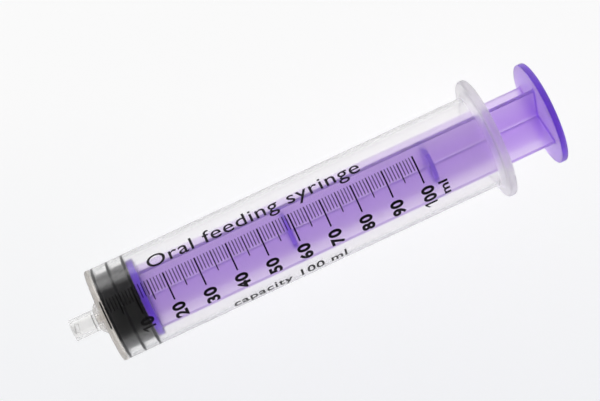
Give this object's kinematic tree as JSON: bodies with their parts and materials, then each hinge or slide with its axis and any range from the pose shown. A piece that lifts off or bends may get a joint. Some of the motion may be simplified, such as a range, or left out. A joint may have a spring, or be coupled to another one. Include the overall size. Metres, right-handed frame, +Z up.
{
  "type": "oral syringe",
  "caption": "Clear barrel with finger flange, socket tip and printed volume scale; a ringed rubber seal slides in it on a cross-ribbed plunger rod with a round thumb rest.",
  "frame": {"origin": "centre of the mouth of the tip's socket", "axes": "+X along the syringe from the tip to the thumb rest; +Z up from the surface that the syringe lies on, through the printed scale; +Y across it"},
  "size_m": [0.1885, 0.046, 0.046],
  "materials": {
    "clear_plastic": "smooth moulded polypropylene, clear and slightly milky",
    "ink": "black printing ink",
    "seal_rubber": "black moulded rubber, lightly oiled",
    "purple_plastic": "smooth translucent purple polypropylene"
  },
  "bodies": {
    "barrel": {"barrel": "clear_plastic", "scale_tens": "ink", "scale_fives": "ink", "scale_units": "ink"},
    "seal": {"seal": "seal_rubber"},
    "rod": {"plunger_rod": "purple_plastic"}
  },
  "joints": [
    {"name": "plunger_slide", "type": "slide", "parent": "barrel", "child": "seal", "axis": [1, 0, 0], "range_m": [0, 0.1213]},
    {"name": "rod_turn", "type": "hinge", "parent": "seal", "child": "rod", "pos_m": [0.0275, 0, 0], "axis": [1, 0, 0], "continuous": true}
  ]
}
